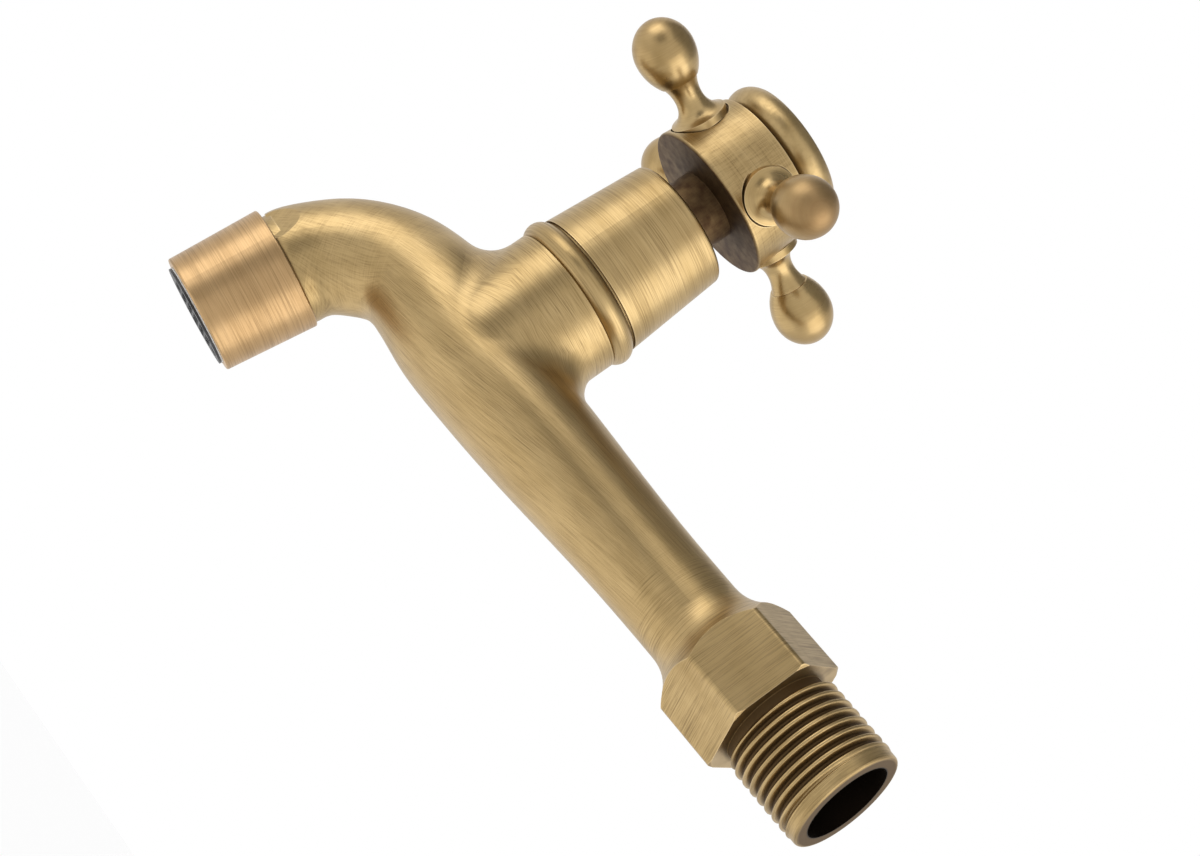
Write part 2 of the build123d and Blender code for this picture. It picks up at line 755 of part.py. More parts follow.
# Spokes: stud, flared foot, slim neck, fine step and an egg-shaped ball
flare_end = spoke_seat + spoke_flange_height
for step, direction in enumerate(spoke_directions):
    spoke_plane = Plane(origin=hub_centre, x_dir=direction, z_dir=direction.cross(Vector(0, 0, 1)))
    with BuildPart() as handle_spoke:
        with BuildSketch(spoke_plane):
            with BuildLine():
                Polyline(
                    (spoke_step_reach, spoke_step_radius + spoke_step),
                    (spoke_step_reach, spoke_step_radius),
                )
                Spline(
                    (spoke_step_reach, spoke_step_radius),
                    (spoke_neck_reach, spoke_neck_radius),
                    (flare_end, spoke_flange_radius),
                    tangents=[spoke_step_slope, spoke_flare_slope],
                )
                Polyline(
                    (flare_end, spoke_flange_radius),
                    (spoke_seat, spoke_flange_radius),
                    (spoke_seat, spoke_stud_radius),
                    (spoke_seat - spoke_stud_length, spoke_stud_radius),
                    (spoke_seat - spoke_stud_length, 0),
                    (ball_reach + ball_nose, 0),
                )
                EllipticalCenterArc((ball_reach, 0), ball_nose, ball_radius, start_angle=0, arc_size=90)
                TangentArc(
                    (ball_reach, ball_radius),
                    (spoke_step_reach, spoke_step_radius + spoke_step),
                    tangent=(-1, 0),
                )
            make_face()
        revolve(axis=Axis(hub_centre, direction))
    spoke_name = f"handle_spoke_{step + 1}"
    handle_spoke.part.label = spoke_name
    export_step(handle_spoke.part, f"parts/{spoke_name}.step")

# Cap: short neck, rounded bead and a shallow dome, with a hollow plug down into the hub
with BuildPart() as handle_cap:
    with BuildSketch(valve_section):
        with BuildLine():
            Polyline(
                (0, cap_bottom),
                (hub_recess_radius - screw_gap - cap_plug_wall, cap_bottom),
                (hub_recess_radius - screw_gap - cap_plug_wall, cap_bottom - cap_plug_length),
                (hub_recess_radius - screw_gap, cap_bottom - cap_plug_length),
                (hub_recess_radius - screw_gap, cap_bottom),
                (cap_neck_radius, cap_bottom),
                (cap_neck_radius, cap_bead_bottom),
                (cap_bead_root, cap_bead_bottom),
            )
            ThreePointArc(
                (cap_bead_root, cap_bead_bottom),
                (cap_bead_radius, (cap_bead_bottom + cap_bead_top) / 2),
                (cap_bead_root, cap_bead_top),
            )
            ThreePointArc(
                (cap_bead_root, cap_bead_top),
                (cap_bead_root / 2, cap_dome_top - cap_dome_radius + cap_dome_mid),
                (0, cap_dome_top),
            )
            Line((0, cap_dome_top), (0, cap_bottom))
        make_face()
    revolve(axis=valve_axis)
handle_cap.part.label = "handle_cap"
export_step(handle_cap.part, "parts/handle_cap.step")

# Spring washer and socket screw that hold the hub down on the spindle
with BuildPart() as handle_washer:
    with BuildSketch(level(hub_recess_floor)):
        Circle(screw_head_radius)
        Circle(screw_radius + run_gap, mode=Mode.SUBTRACT)
    extrude(amount=spring_washer_height)
handle_washer.part.label = "handle_washer"
export_step(handle_washer.part, "parts/handle_washer.step")

with BuildPart() as handle_screw:
    with BuildSketch(level(spindle_top - screw_depth)):
        Circle(screw_radius)
    extrude(amount=screw_head_bottom - spindle_top + screw_depth)
    with BuildSketch(level(screw_head_bottom)):
        Circle(screw_head_radius)
    extrude(amount=screw_head_height)
    with BuildSketch(level(screw_head_bottom + screw_head_height / 2)):
        RegularPolygon(screw_socket_width / 2, 6, major_radius=False)
    extrude(amount=screw_head_height, mode=Mode.SUBTRACT)
handle_screw.part.label = "handle_screw"
export_step(handle_screw.part, "parts/handle_screw.step")
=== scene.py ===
import json
from math import cos, hypot, pi, radians, sin

import bmesh
import bpy
from mathutils import Matrix, Vector

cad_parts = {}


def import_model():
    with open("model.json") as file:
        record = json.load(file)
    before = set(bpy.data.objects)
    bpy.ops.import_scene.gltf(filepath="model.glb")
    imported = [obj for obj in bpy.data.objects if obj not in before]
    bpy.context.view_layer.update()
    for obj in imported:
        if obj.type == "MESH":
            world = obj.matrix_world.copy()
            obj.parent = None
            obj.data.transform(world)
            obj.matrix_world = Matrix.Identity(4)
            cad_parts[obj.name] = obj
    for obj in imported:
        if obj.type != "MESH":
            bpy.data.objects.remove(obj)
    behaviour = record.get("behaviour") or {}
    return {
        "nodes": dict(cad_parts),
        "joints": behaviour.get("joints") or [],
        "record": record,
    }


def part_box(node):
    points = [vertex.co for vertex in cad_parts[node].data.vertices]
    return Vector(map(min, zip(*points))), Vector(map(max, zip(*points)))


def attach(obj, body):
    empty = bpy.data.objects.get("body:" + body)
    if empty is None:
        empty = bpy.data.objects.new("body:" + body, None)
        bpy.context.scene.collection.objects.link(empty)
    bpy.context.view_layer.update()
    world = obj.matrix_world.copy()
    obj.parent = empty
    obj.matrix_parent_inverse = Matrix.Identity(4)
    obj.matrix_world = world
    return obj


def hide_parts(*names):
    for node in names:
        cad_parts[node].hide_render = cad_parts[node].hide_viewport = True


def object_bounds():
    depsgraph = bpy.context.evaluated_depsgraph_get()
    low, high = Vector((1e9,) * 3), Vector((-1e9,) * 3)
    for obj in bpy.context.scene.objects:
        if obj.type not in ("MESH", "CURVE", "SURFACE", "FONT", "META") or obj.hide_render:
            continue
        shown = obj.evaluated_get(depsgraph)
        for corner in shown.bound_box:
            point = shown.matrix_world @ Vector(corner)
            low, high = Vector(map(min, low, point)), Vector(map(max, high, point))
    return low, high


# Looks of a wall-mounted antique brass tap. Metres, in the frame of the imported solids.

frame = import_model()
cad_low, cad_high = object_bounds()

MM = 0.001
PER_MM = 1 / MM
nodes = frame["nodes"]
inlet_mount = next(mount for mount in frame["record"]["mounts"] if mount["name"] == "inlet_thread")
handle_joint = next(joint for joint in frame["joints"] if joint["name"] == "handle_turn")

# Axes of the handle and of the pipe
VALVE_Y = handle_joint["pos_m"][1]
UPRIGHT = (0, 0, 1)
PIPE_AXIS = (0, 1, 0)

# Photograph's frame and the camera that was fitted to it
PHOTO_WIDTH = 1200
SENSOR_WIDTH = 36.0
FOCAL_PIXELS = 2686.4
CAMERA_PLACE = Vector((0.392708, 0.130071, -0.082768))
CAMERA_RIGHT = Vector((-0.10052, 0.59256, 0.79923))
CAMERA_UP = Vector((0.46400, -0.68267, 0.56450))
NEAREST = 0.01
FARTHEST = 50

# Inlet thread, a half-inch pipe thread between the relief and the plain collar
THREAD_RADIUS = inlet_mount["dims"]["r_mm"] * MM
THREAD_LENGTH = inlet_mount["dims"]["length_mm"] * MM
THREAD_PITCH = 1.814 * MM
THREAD_DEPTH = 1.162 * MM
THREAD_RUN_OUT = 1.1 * MM
ROOT_RADIUS = THREAD_RADIUS - THREAD_DEPTH
RELIEF_CLEARANCE = 0.02 * MM
RELIEF_RADIUS = ROOT_RADIUS - RELIEF_CLEARANCE
RELIEF_END = RELIEF_RADIUS - THREAD_RADIUS
COLLAR_STEP = 0.23 * MM
COLLAR_RADIUS = THREAD_RADIUS - COLLAR_STEP
COLLAR_ROUND = 0.6 * MM
INLET_WALL = 1.5 * MM
BORE_RADIUS = ROOT_RADIUS - INLET_WALL
INLET_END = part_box("tap_body")[1].y
TINY = 0.01 * MM

# Shares of half a pitch: where the thread's flank begins, from the middle of the valley, and its width
FLANK_START = 0.84
FLANK_SHARE = 0.68

# Fineness of the thread's mesh
RING_STEPS = 144
PITCH_STEPS = 14
ROUND_STEPS = 8

# Places where the brushing of the casting changes
NECK_END = -30 * MM
NECK_BLEND = 3 * MM
SPOUT_START = -104 * MM
SPOUT_BLEND = 4 * MM
BOSS_FOOT = 9 * MM
BOSS_REACH = 17 * MM
BOSS_BLEND = 3 * MM
WANDER = 4 * MM

# Spans over which the patina of the thread and the painted shade of the bore come in, along the pipe and out
# from it
THREAD_PATINA = (-2.4 * MM, -2.0 * MM)
ROOT_PATINA = (THREAD_RADIUS - 0.85 * THREAD_DEPTH, THREAD_RADIUS - 0.25 * THREAD_DEPTH)
BORE_SHADE_START = (-5 * MM, -4 * MM)
BORE_SHADE_EDGE = (BORE_RADIUS + TINY, BORE_RADIUS + 0.3 * MM)

# Nozzle and handle
NOZZLE_TILT = radians(82.75)
NOZZLE_AXIS = (0, -cos(NOZZLE_TILT), -sin(NOZZLE_TILT))
SPOKES = 4
SPOKE_REACH = 33 * MM
TIP_LENGTH = 8 * MM

# Underside of the handle's drum, and the heights over which the painted shade beneath it ends
DRUM_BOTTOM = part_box("handle_spoke_1")[0].z - 0.75 * MM
DRUM_SHADE_EDGE = (DRUM_BOTTOM + 0.05 * MM, DRUM_BOTTOM + 0.4 * MM)

# Copper tone at the ball ends: strong on the spoke that faces the camera, where it is mostly a painted
# reflection
FRONT_SPOKE = 1
FRONT_COPPER_AND_REFLECTION = 0.6
OTHER_COPPER = 0.15

# Brush marks: changes per millimetre along an axis, and at right angles to it
LATHE_LINES = (5.0, 0.07)
LATHE_STREAKS = (0.4, 0.05)
SPOKE_LINES = (5.0, 0.1)
UPRIGHT_LINES = (0.08, 4.0)
HUB_STREAKS = (0.3, 0.1)
CAST_RINGS = (6.0, 0.12)
CAST_SLANTS = (6.0, 0.2)
CAST_STREAKS = (0.05, 0.2)

# Axes of the two slanting sets of marks on the spout, and how crossing sets are mixed
RISING = (0.2, 0.5, -0.8)
FALLING = (0.2, 0.8, 0.4)
FALLING_SHARE = 0.4
HATCH_SHARE = 0.5

# Marks along the pipe: changes round it per radian, along it per metre, and twist in radians per metre
PIPE_ROUND = 115
PIPE_ALONG = 0.14 * PER_MM
PIPE_TWIST = 14.0

# Depth of the brush marks in tone, and their height
SLEEVE_DEPTH = 0.35
BONNET_DEPTH = 0.45
HUB_DEPTH = 0.45
CAST_DEPTH = 0.5
SPOKE_DEPTH = 0.18
CAP_DEPTH = 0.1
MARK_HEIGHT = 0.05 * MM
CAP_MARK_HEIGHT = 0.03 * MM
LATHE_BUMP_SHARE = 0.3

# Middle span of a noise, in which most of its values lie
NOISE_SPAN = (0.3, 0.7)

# Brass finish
BLOTCH_SHARE = 0.4
TONE_SPAN = (0.25, 0.75)
DARK_LINE_SPAN = (0.33, 0.52)
LIGHT_LINE_SPAN = (0.53, 0.68)
WORN_WIDTH = 0.35 * MM
WORN_SHARE = 0.6
BENT_SPAN = (0.93, 0.995)
SEAM_WIDTH = 1.4 * MM
SEAM_SPAN = (0.25, 0.7)
# Deepest share of dark tone: patina in the thread roots, and painted shade beneath the hub's drum
DEEPEST_PATINA_AND_SHADE = 0.95
SATIN = 0.42
POLISHED = 0.36
SHINE_SPREAD = 0.1
PATINA_ROUGH = 0.6

# Brass tones
BRASS_LIGHT = (0.50, 0.360, 0.174, 1)
BRASS_MID = (0.345, 0.237, 0.100, 1)
BRASS_DARK = (0.095, 0.058, 0.026, 1)
# Near-black painted shade inside the bore
BORE_PAINTED_SHADE = (0.016, 0.011, 0.007, 1)
SLEEVE_LIGHT = (0.55, 0.365, 0.185, 1)
SLEEVE_MID = (0.37, 0.232, 0.105, 1)
WORN_EDGE = (0.66, 0.50, 0.27, 1)
COPPER = (0.24, 0.135, 0.062, 1)
COPPER_DARK = (0.058, 0.028, 0.015, 1)

# Plain finish
DARKER_SHARE = 0.75
ROUGH_SPREAD = 0.06
MATTE = 0.8

# Stage
MIDDLE = Vector((0, -0.055, 0.02))
FLOOR_DROP = 0.2
FLOOR_HALF_SIDE = 6.0
FLOOR_TONE = (0.95, 0.95, 0.95, 1)
FLOOR_GLOW = 0.5
WHITE = (1, 1, 1, 1)


class Nodes:
    """Small helper that builds one node material."""

    def __init__(self, name):
        self.material = bpy.data.materials.new(name)
        self.material.use_nodes = True
        self.tree = self.material.node_tree
        self.shader = self.tree.nodes["Principled BSDF"]
        self.place = self.add("ShaderNodeTexCoord").outputs["Object"]

    def add(self, kind, **settings):
        node = self.tree.nodes.new(kind)
        for key, value in settings.items():
            setattr(node, key, value)
        return node

    def link(self, source, target):
        self.tree.links.new(source, target)

    def feed(self, socket, value):
        """Sets a socket to a number or links it to an output."""
        if isinstance(value, bpy.types.NodeSocket):
            self.link(value, socket)
        else:
            socket.default_value = value

    def math(self, operation, a, b=0.0):
        node = self.add("ShaderNodeMath", operation=operation)
        self.feed(node.inputs[0], a)
        self.feed(node.inputs[1], b)
        return node.outputs[0]

    def vector(self, operation, a, b=(0, 0, 0)):
        node = self.add("ShaderNodeVectorMath", operation=operation)
        self.feed(node.inputs[0], a)
        self.feed(node.inputs[1], b)
        return node.outputs[0]

    def ramp(self, value, low, high, start=0.0, end=1.0):
        """Straight ramp of value from low..high to start..end, clamped."""
        node = self.add("ShaderNodeMapRange", clamp=True)
        self.feed(node.inputs["Value"], value)
        node.inputs["From Min"].default_value = low
        node.inputs["From Max"].default_value = high
        node.inputs["To Min"].default_value = start
        node.inputs["To Max"].default_value = end
        return node.outputs[0]

    def mix(self, share, a, b):
        """Blend of two colours."""
        node = self.add("ShaderNodeMix", data_type="RGBA")
        self.feed(node.inputs[0], share)
        self.feed(node.inputs[6], a)
        self.feed(node.inputs[7], b)
        return node.outputs[2]

    def blend(self, share, a, b):
        """Blend of two numbers."""
        node = self.add("ShaderNodeMix", data_type="FLOAT")
        self.feed(node.inputs[0], share)
        self.feed(node.inputs[2], a)
        self.feed(node.inputs[3], b)
        return node.outputs[0]

    def split(self, vector):
        node = self.add("ShaderNodeSeparateXYZ")
        self.link(vector, node.inputs[0])
        return node.outputs

    def radius(self, a, b):
        """Distance from an axis, of a place at a and b across it."""
        squares = self.math("ADD", self.math("MULTIPLY", a, a), self.math("MULTIPLY", b, b))
        return self.math("SQRT", squares)

    def stretched(self, axis, along, across):
        """Object place in millimetres, scaled by along on the axis and by across at right angles to it."""
        turn = Vector(axis).normalized().rotation_difference(Vector(UPRIGHT))
        turned = self.add("ShaderNodeMapping")
        self.link(self.place, turned.inputs["Vector"])
        turned.inputs["Rotation"].default_value = turn.to_euler()
        return self.vector("MULTIPLY", turned.outputs[0], (across * PER_MM, across * PER_MM, along * PER_MM))

    def noise(self, vector, scale=1.0, detail=2, roughness=0.55):
        node = self.add("ShaderNodeTexNoise")
        self.link(vector, node.inputs["Vector"])
        node.inputs["Scale"].default_value = scale
        node.inputs["Detail"].default_value = detail
        node.inputs["Roughness"].default_value = roughness
        return node.outputs[0]

    def hairlines(self, vector):
        """Fine brush lines, drawn out where the vector changes slowly."""
        return self.noise(vector, detail=3, roughness=0.7)

    def cavity(self, distance):
        """Near 0 in seams and grooves, near 1 on open faces."""
        node = self.add("ShaderNodeAmbientOcclusion", samples=8)
        node.inputs["Distance"].default_value = distance
        return node.outputs["AO"]

    def edges(self, width):
        """Near 1 along outer edges, where the finish is worn, and 0 on open faces."""
        rounded = self.add("ShaderNodeBevel", samples=6)
        rounded.inputs["Radius"].default_value = width
        plain = self.add("ShaderNodeNewGeometry").outputs["Normal"]
        node = self.add("ShaderNodeVectorMath", operation="DOT_PRODUCT")
        self.link(rounded.outputs[0], node.inputs[0])
        self.link(plain, node.inputs[1])
        return self.ramp(node.outputs["Value"], *BENT_SPAN, 1.0, 0.0)

    def bump(self, height, strength, distance=MARK_HEIGHT):
        node = self.add("ShaderNodeBump")
        node.inputs["Strength"].default_value = strength
        node.inputs["Distance"].default_value = distance
        self.link(height, node.inputs["Height"])
        self.link(node.outputs[0], self.shader.inputs["Normal"])


def seams(kit, most=0.75):
    """Share of dark patina in seams and grooves."""
    return kit.ramp(kit.cavity(SEAM_WIDTH), *SEAM_SPAN, most, 0.0)


def brass_finish(
    kit, lines, streaks, patina, depth, light=BRASS_LIGHT, mid=BRASS_MID, dark=BRASS_DARK, dull=SATIN
):
    """Antique brass: tan metal with brush lines of some depth, and dark brown where patina stays; on the hub
    and a spoke the same dark tone also carries painted shade and a painted reflection.
    """
    blotch = kit.noise(kit.place, scale=0.1 * PER_MM)
    tone = kit.blend(BLOTCH_SHARE, streaks, blotch)
    colour = kit.mix(kit.ramp(tone, *TONE_SPAN), mid, light)
    colour = kit.mix(kit.ramp(lines, *DARK_LINE_SPAN, depth, 0.0), colour, dark)
    colour = kit.mix(kit.ramp(lines, *LIGHT_LINE_SPAN, 0.0, depth), colour, light)
    colour = kit.mix(kit.math("MULTIPLY", kit.edges(WORN_WIDTH), WORN_SHARE), colour, WORN_EDGE)
    colour = kit.mix(patina, colour, dark)
    kit.link(colour, kit.shader.inputs["Base Color"])
    kit.shader.inputs["Metallic"].default_value = 1.0
    rough = kit.ramp(lines, *NOISE_SPAN, dull, dull - SHINE_SPREAD)
    kit.link(kit.blend(patina, rough, PATINA_ROUGH), kit.shader.inputs["Roughness"])
    return colour


def turned_brass(name, axis, depth, light=BRASS_LIGHT, mid=BRASS_MID):
    """Brass brushed round an axis, as on a lathe."""
    kit = Nodes(name)
    lines = kit.hairlines(kit.stretched(axis, *LATHE_LINES))
    streaks = kit.noise(kit.stretched(axis, *LATHE_STREAKS))
    brass_finish(kit, lines, streaks, seams(kit, most=0.3), depth, light, mid)
    kit.bump(lines, strength=LATHE_BUMP_SHARE * depth)
    return kit.material


def spoke_brass(name, axis, copper_and_reflection):
    """Satin brass of a spoke, with some share of coppery tone at the end of its ball, which on the spoke
    facing the camera is mostly a painted reflection.
    """
    kit = Nodes(name)
    lines = kit.hairlines(kit.stretched(axis, *SPOKE_LINES))
    streaks = kit.noise(kit.place, scale=0.2 * PER_MM)
    x, y, _ = kit.split(kit.place)
    reach = kit.radius(x, kit.math("SUBTRACT", y, VALVE_Y))
    # Coppery tone at the ball's end, mostly a painted reflection on the spoke facing the camera
    tip = kit.ramp(reach, SPOKE_REACH - TIP_LENGTH, SPOKE_REACH, 0.0, copper_and_reflection)
    patina = kit.math("MAXIMUM", seams(kit), tip)
    brass_finish(kit, lines, streaks, patina, SPOKE_DEPTH, dark=COPPER, dull=POLISHED)
    kit.bump(lines, strength=0.05)
    return kit.material


def hub_brass(name):
    """Brass of the hub: cross-hatched drum, with painted shade making the underside and boss dark coppery.
    """
    kit = Nodes(name)
    z = kit.split(kit.place)[2]
    rings = kit.hairlines(kit.stretched(UPRIGHT, *LATHE_LINES))
    upright = kit.hairlines(kit.stretched(UPRIGHT, *UPRIGHT_LINES))
    lines = kit.blend(HATCH_SHARE, rings, upright)
    streaks = kit.noise(kit.stretched(UPRIGHT, *HUB_STREAKS))
    mottle = kit.ramp(kit.noise(kit.place, scale=0.5 * PER_MM, detail=3), *NOISE_SPAN, 0.75, 1.0)
    # Painted shade: dark coppery tone beneath the drum and on the boss, mottled
    underside_shade = kit.ramp(z, *DRUM_SHADE_EDGE, DEEPEST_PATINA_AND_SHADE, 0.0)
    patina = kit.math("MAXIMUM", seams(kit), kit.math("MULTIPLY", underside_shade, mottle))
    brass_finish(kit, lines, streaks, patina, HUB_DEPTH, dark=COPPER_DARK)
    kit.bump(lines, strength=0.08)
    return kit.material


def smooth_brass(name):
    """Satin brass with no strong lines, for the cap."""
    kit = Nodes(name)
    lines = kit.noise(kit.place, scale=1.2 * PER_MM, detail=3)
    streaks = kit.noise(kit.place, scale=0.25 * PER_MM)
    brass_finish(kit, lines, streaks, seams(kit), CAP_DEPTH)
    kit.bump(lines, strength=0.03, distance=CAP_MARK_HEIGHT)
    return kit.material


def pipe_lines(kit, y):
    """Brush lines along the pipe, winding slowly round it."""
    outward = kit.vector("NORMALIZE", kit.vector("MULTIPLY", kit.place, (1, 0, 1)))
    twist = kit.add("ShaderNodeVectorRotate", rotation_type="Y_AXIS")
    kit.link(outward, twist.inputs["Vector"])
    kit.link(kit.math("MULTIPLY", y, PIPE_TWIST), twist.inputs["Angle"])
    around = kit.vector("MULTIPLY", twist.outputs[0], (PIPE_ROUND, PIPE_ROUND, PIPE_ROUND))
    along = kit.vector("MULTIPLY", kit.place, (0, PIPE_ALONG, 0))
    return kit.hairlines(kit.vector("ADD", around, along))


def body_lines(kit, y, z):
    """Brush lines of the casting: along the pipe, round the boss and the neck, and aslant on the spout."""
    around_neck = kit.hairlines(kit.stretched(PIPE_AXIS, *CAST_RINGS))
    around_boss = kit.hairlines(kit.stretched(UPRIGHT, *CAST_RINGS))
    rising = kit.hairlines(kit.stretched(RISING, *CAST_SLANTS))
    falling = kit.hairlines(kit.stretched(FALLING, *CAST_SLANTS))
    wander = kit.ramp(kit.noise(kit.place, scale=0.15 * PER_MM), *NOISE_SPAN, -WANDER, WANDER)
    along = kit.math("ADD", y, wander)
    on_neck = kit.ramp(along, NECK_END - NECK_BLEND, NECK_END + NECK_BLEND)
    on_spout = kit.ramp(along, SPOUT_START - SPOUT_BLEND, SPOUT_START + SPOUT_BLEND, 1.0, 0.0)
    from_valve = kit.math("ABSOLUTE", kit.math("SUBTRACT", y, VALVE_Y))
    near_valve = kit.ramp(from_valve, BOSS_REACH - BOSS_BLEND, BOSS_REACH, 1.0, 0.0)
    above_foot = kit.ramp(kit.math("ADD", z, wander), BOSS_FOOT, BOSS_FOOT + BOSS_BLEND)
    lines = kit.blend(kit.math("MULTIPLY", near_valve, above_foot), pipe_lines(kit, y), around_boss)
    lines = kit.blend(on_neck, lines, around_neck)
    return kit.blend(on_spout, lines, kit.blend(FALLING_SHARE, rising, falling))


def body_brass(name):
    """Brass of the casting, with dark thread roots and near-black painted shade in the bore."""
    kit = Nodes(name)
    x, y, z = kit.split(kit.place)
    radius = kit.radius(x, z)
    lines = body_lines(kit, y, z)
    streaks = kit.noise(kit.stretched(PIPE_AXIS, *CAST_STREAKS))
    root = kit.ramp(radius, *ROOT_PATINA, DEEPEST_PATINA_AND_SHADE, 0.0)
    thread_roots = kit.math("MULTIPLY", kit.ramp(y, *THREAD_PATINA), root)
    patina = kit.math("MAXIMUM", seams(kit, most=0.6), thread_roots)
    brass = brass_finish(kit, lines, streaks, patina, CAST_DEPTH)
    # Painted shade: near-black inside the bore
    bore = kit.math("MULTIPLY", kit.ramp(y, *BORE_SHADE_START), kit.ramp(radius, *BORE_SHADE_EDGE, 1.0, 0.0))
    kit.link(kit.mix(bore, brass, BORE_PAINTED_SHADE), kit.shader.inputs["Base Color"])
    kit.bump(lines, strength=0.08)
    return kit.material


def plain_finish(name, colour, rough, metal=0.0):
    """Moulded, rubber, ceramic or machined surface with fine mottling."""
    kit = Nodes(name)
    grain = kit.noise(kit.place, scale=1.5 * PER_MM, detail=3)
    darker = tuple(DARKER_SHARE * channel for channel in colour[:3]) + (1,)
    kit.link(kit.mix(kit.ramp(grain, *NOISE_SPAN), darker, colour), kit.shader.inputs["Base Color"])
    spread = kit.ramp(grain, *NOISE_SPAN, rough - ROUGH_SPREAD, rough + ROUGH_SPREAD)
    kit.link(spread, kit.shader.inputs["Roughness"])
    kit.shader.inputs["Metallic"].default_value = metal
    kit.bump(grain, strength=0.05)
    return kit.material


def link_piece(name, data):
    """New object linked to the scene."""
    piece = bpy.data.objects.new(name, data)
    bpy.context.scene.collection.objects.link(piece)
    return piece


def mesh_piece(name, bm):
    """Object made from a bmesh."""
    data = bpy.data.meshes.new(name)
    bm.to_mesh(data)
    bm.free()
    return link_piece(name, data)


def stub_radius(y, angle):
    """Outside radius of the inlet stub at a place along it and round it."""
    if y >= THREAD_LENGTH:
        drop = max(0.0, y - (INLET_END - COLLAR_ROUND)) / COLLAR_ROUND
        return COLLAR_RADIUS - COLLAR_ROUND * (1 - (1 - min(1.0, drop) ** 2) ** 0.5)
    phase = (y / THREAD_PITCH - angle / (2 * pi)) % 1.0
    flank = min(1.0, max(0.0, (FLANK_START - abs(phase - 0.5) * 2) / FLANK_SHARE))
    valley = flank**2 * (3 - 2 * flank)
    run_out = min(1.0, (THREAD_LENGTH - y) / THREAD_RUN_OUT)
    crest = min(THREAD_RADIUS, RELIEF_RADIUS + y - RELIEF_END)
    return max(RELIEF_RADIUS, crest - THREAD_DEPTH * valley * run_out)


def threaded_stub(bm):
    """Outside of the inlet stub: helical thread, plain collar and the end face round the bore."""
    length = THREAD_LENGTH - RELIEF_END
    steps = int(length / THREAD_PITCH * PITCH_STEPS)
    places = [RELIEF_END + length * step / steps for step in range(steps + 1)]
    turns = [pi / 2 * step / ROUND_STEPS for step in range(ROUND_STEPS + 1)]
    places += [INLET_END - COLLAR_ROUND * (1 - sin(turn)) for turn in turns]
    angles = [2 * pi * step / RING_STEPS for step in range(RING_STEPS)]
    rings = [[(stub_radius(y, angle), y) for angle in angles] for y in places]
    rings.append([(BORE_RADIUS, INLET_END)] * RING_STEPS)
    loops = []
    for ring in rings:
        loops.append([bm.verts.new((r * cos(a), y, r * sin(a))) for (r, y), a in zip(ring, angles)])
    for here, ahead in zip(loops, loops[1:]):
        for step in range(RING_STEPS):
            after = (step + 1) % RING_STEPS
            face = bm.faces.new((here[step], ahead[step], ahead[after], here[after]))
            face.smooth = ahead is not loops[-1]


def outside_thread(face):
    """True for the solid's faces that the helical stub takes the place of."""
    beyond = any(vert.co.y > RELIEF_END + TINY for vert in face.verts)
    return beyond and any(hypot(vert.co.x, vert.co.z) > BORE_RADIUS + TINY for vert in face.verts)


def tap_body_piece():
    """The casting with its helical inlet thread: the solid's own surface, with its rings left off."""
    bm = bmesh.new()
    bm.from_mesh(nodes["tap_body"].data)
    bmesh.ops.delete(bm, geom=[face for face in bm.faces if outside_thread(face)], context="FACES")
    threaded_stub(bm)
    piece = mesh_piece("threaded_tap_body", bm)
    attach(piece, "tap")
    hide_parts("tap_body")
    return piece


def dress(piece, material):
    """Gives a piece its finish."""
    piece.data.materials.clear()
    piece.data.materials.append(material)


def camera():
    """Camera at the photograph's viewing angle."""
    data = bpy.data.cameras.new("photo_camera")
    data.sensor_fit = "HORIZONTAL"
    data.sensor_width = SENSOR_WIDTH
    data.lens = FOCAL_PIXELS * SENSOR_WIDTH / PHOTO_WIDTH
    data.clip_start = NEAREST
    data.clip_end = FARTHEST
    piece = link_piece("photo_camera", data)
    right = CAMERA_RIGHT.normalized()
    back = right.cross(CAMERA_UP).normalized()
    turn = Matrix((right, back.cross(right), back)).transposed()
    piece.matrix_world = Matrix.Translation(CAMERA_PLACE) @ turn.to_4x4()
    bpy.context.scene.camera = piece


def aim(piece, direction, distance):
    """Sets a lamp or card out from the tap in a direction, facing it."""
    piece.location = MIDDLE + Vector(direction).normalized() * distance
    piece.rotation_euler = (MIDDLE - piece.location).to_track_quat("-Z", "Y").to_euler()


def softbox(name, direction, distance, side, power):
    """Square soft lamp that faces the tap."""
    data = bpy.data.lights.new(name, "AREA")
    data.shape = "SQUARE"
    data.size = side
    data.energy = power
    lamp = link_piece(name, data)
    lamp.visible_camera = False
    aim(lamp, direction, distance)


def plane(name, half_side):
    """Square sheet, level and facing up."""
    bm = bmesh.new()
    bmesh.ops.create_grid(bm, x_segments=1, y_segments=1, size=half_side)
    return mesh_piece(name, bm)


def card(name, direction, distance, side, grey):
    """Plain square studio card that the metal reflects."""
    piece = plane(name, half_side=0.5)
    piece.scale = (side, side, 1)
    aim(piece, direction, distance)
    piece.visible_camera = False
    dress(piece, plain_finish(name, (grey, grey, grey, 1), MATTE))


def floor():
    """Plain pale floor well below the tap, a little brighter where it is seen."""
    piece = plane("floor", half_side=FLOOR_HALF_SIDE)
    piece.location = (0, VALVE_Y, cad_low.z - FLOOR_DROP)
    kit = Nodes("pale_floor")
    kit.shader.inputs["Base Color"].default_value = FLOOR_TONE
    kit.shader.inputs["Roughness"].default_value = MATTE
    path = kit.add("ShaderNodeLightPath").outputs
    seen = kit.math("MAXIMUM", path["Is Camera Ray"], path["Is Glossy Ray"])
    seen = kit.math("MAXIMUM", seen, path["Is Transmission Ray"])
    shown = kit.add("ShaderNodeEmission")
    choice = kit.add("ShaderNodeMixShader")
    kit.link(kit.math("MULTIPLY", seen, FLOOR_GLOW), choice.inputs[0])
    kit.link(kit.shader.outputs[0], choice.inputs[1])
    kit.link(shown.outputs[0], choice.inputs[2])
    kit.link(choice.outputs[0], kit.tree.nodes["Material Output"].inputs["Surface"])
    dress(piece, kit.material)


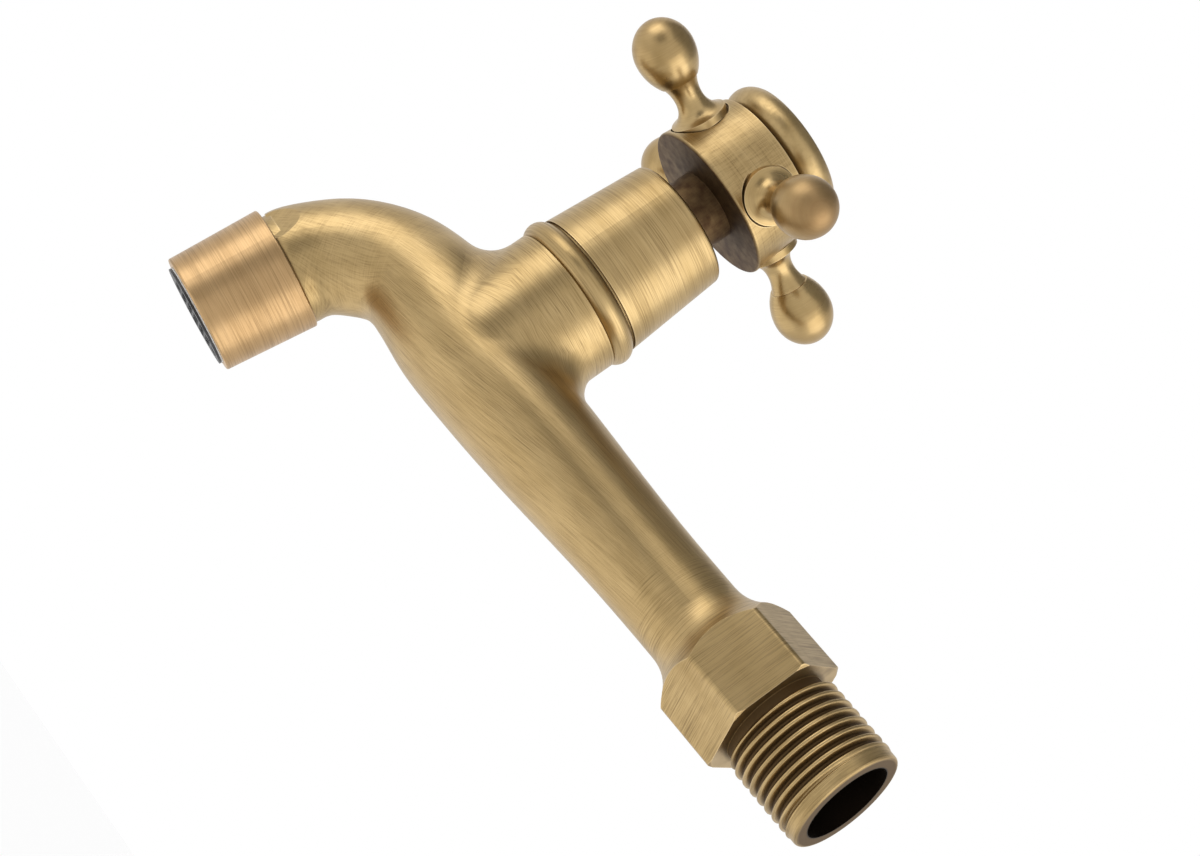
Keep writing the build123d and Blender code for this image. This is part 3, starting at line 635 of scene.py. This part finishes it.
def world():
    """Plain white studio."""
    space = bpy.data.worlds.new("studio")
    bpy.context.scene.world = space
    space.use_nodes = True
    ground = space.node_tree.nodes["Background"]
    ground.inputs["Color"].default_value = WHITE
    ground.inputs["Strength"].default_value = 1.0


# Brass pieces
dress(tap_body_piece(), body_brass("cast_brass"))
sleeve_brass = turned_brass("turned_brass_nozzle", NOZZLE_AXIS, SLEEVE_DEPTH, SLEEVE_LIGHT, SLEEVE_MID)
dress(nodes["aerator_housing"], sleeve_brass)
dress(nodes["bonnet_shroud"], turned_brass("turned_brass_bonnet", UPRIGHT, BONNET_DEPTH))
dress(nodes["handle_hub"], hub_brass("hatched_brass_hub"))
dress(nodes["handle_cap"], smooth_brass("satin_brass"))
for number in range(1, SPOKES + 1):
    spoke_low, spoke_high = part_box(f"handle_spoke_{number}")
    centre = (spoke_low + spoke_high) / 2
    spoke_axis = (centre.x, centre.y - VALVE_Y, 0)
    # The spoke facing the camera gets a strong coppery ball end, mostly a painted reflection
    copper_and_reflection = FRONT_COPPER_AND_REFLECTION if number == FRONT_SPOKE else OTHER_COPPER
    finish = spoke_brass(f"turned_brass_spoke_{number}", spoke_axis, copper_and_reflection)
    dress(nodes[f"handle_spoke_{number}"], finish)

# Inner pieces
machined = plain_finish("machined_brass", colour=(0.62, 0.45, 0.2, 1), rough=0.3, metal=1.0)
rubber = plain_finish("black_rubber", colour=(0.02, 0.02, 0.02, 1), rough=0.6)
ceramic = plain_finish("white_ceramic", colour=(0.8, 0.79, 0.76, 1), rough=0.25)
acetal = plain_finish("pale_acetal", colour=(0.75, 0.75, 0.73, 1), rough=0.4)
black_plastic = plain_finish("black_plastic", colour=(0.018, 0.018, 0.02, 1), rough=0.45)
steel = plain_finish("plain_steel", colour=(0.5, 0.5, 0.51, 1), rough=0.35, metal=1.0)
inner_finishes = {
    "headwork_body": machined,
    "spindle": machined,
    "aerator_washer": rubber,
    "headwork_gasket": rubber,
    "seat_seal": rubber,
    "spindle_o_rings": rubber,
    "fixed_ceramic_disc": ceramic,
    "moving_ceramic_disc": ceramic,
    "aerator_cage": acetal,
    "aerator_flow_disc": acetal,
    "aerator_grille": black_plastic,
    "thrust_washer": steel,
    "circlip": steel,
    "handle_washer": steel,
    "handle_screw": steel,
}
for name, finish in inner_finishes.items():
    dress(nodes[name], finish)

# Studio
camera()
floor()
world()
card("overhead_card", direction=(0.1, -0.05, 1), distance=0.55, side=0.8, grey=0.3)
card("side_card", direction=(0.975, -0.2, 0.08), distance=0.5, side=0.28, grey=0.25)
softbox("key_softbox", direction=(-0.1, 0.98, 0.15), distance=0.8, side=0.8, power=3.3)
softbox("side_softbox", direction=(0.7, -0.68, 0.25), distance=0.9, side=0.6, power=2.1)
softbox("low_softbox", direction=(-0.2, -0.3, -0.9), distance=0.19, side=0.3, power=0.11)
bpy.context.scene.view_settings.view_transform = "Standard"
